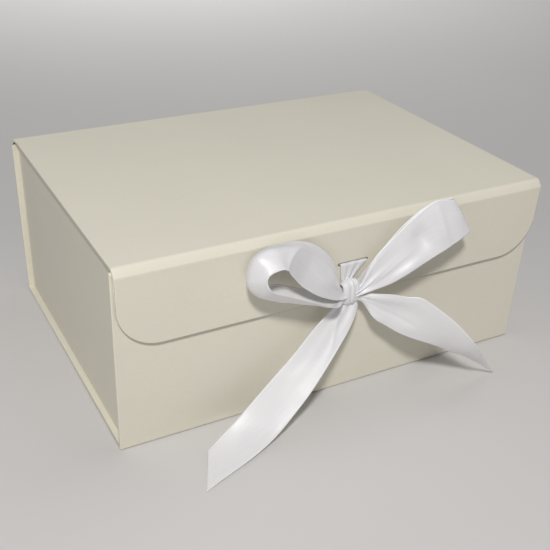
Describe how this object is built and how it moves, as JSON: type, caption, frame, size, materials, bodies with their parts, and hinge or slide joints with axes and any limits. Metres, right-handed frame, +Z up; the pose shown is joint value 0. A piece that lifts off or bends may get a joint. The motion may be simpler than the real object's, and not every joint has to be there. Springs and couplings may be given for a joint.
{
  "type": "wedding card box",
  "caption": "Paper-covered rectangular keepsake box with a hinged lid, a rounded front flap held by hidden magnets and a satin ribbon bow.",
  "frame": {"origin": "middle of the closed box's underside, on the surface it stands on", "axes": "+X to the right along the front, -Y to the front (the side with the flap and bow), +Z up"},
  "size_m": [0.3115, 0.2773, 0.1363],
  "materials": {
    "ivory_paper": "smooth matte cover paper, ivory",
    "lining_paper": "smooth matte lining paper, pale ivory",
    "greyboard": "raw greyboard, hidden under paper",
    "steel": "plain, hidden under paper",
    "satin_ribbon": "white satin"
  },
  "bodies": {
    "tray": {"base_board": "greyboard", "front_board": "greyboard", "back_board": "greyboard", "left_board": "greyboard", "right_board": "greyboard", "case_wrap": "ivory_paper", "left_wrap": "ivory_paper", "right_wrap": "ivory_paper", "base_lining": "lining_paper", "front_lining": "lining_paper", "back_lining": "lining_paper", "left_lining": "lining_paper", "right_lining": "lining_paper", "front_left_tab": "lining_paper", "front_right_tab": "lining_paper", "back_left_tab": "lining_paper", "back_right_tab": "lining_paper", "steel_plates": "steel"},
    "lid": {"lid_board": "greyboard", "lid_wrap": "ivory_paper", "lid_lining": "lining_paper", "rear_fold": "ivory_paper", "front_fold": "ivory_paper"},
    "flap": {"flap_board": "greyboard", "flap_wrap": "ivory_paper", "flap_lining": "lining_paper", "magnets": "steel", "ribbon_band": "satin_ribbon", "knot": "satin_ribbon", "left_loop": "satin_ribbon", "right_loop": "satin_ribbon", "left_tail": "satin_ribbon", "right_tail": "satin_ribbon"}
  },
  "joints": [
    {"name": "lid_hinge", "type": "hinge", "parent": "tray", "child": "lid", "pos_m": [0, 0.11, 0.129], "axis": [-1, 0, 0], "range_deg": [0, 180]},
    {"name": "flap_hinge", "type": "hinge", "parent": "lid", "child": "flap", "pos_m": [0, -0.113, 0.129], "axis": [-1, 0, 0], "range_deg": [0, 120]}
  ]
}
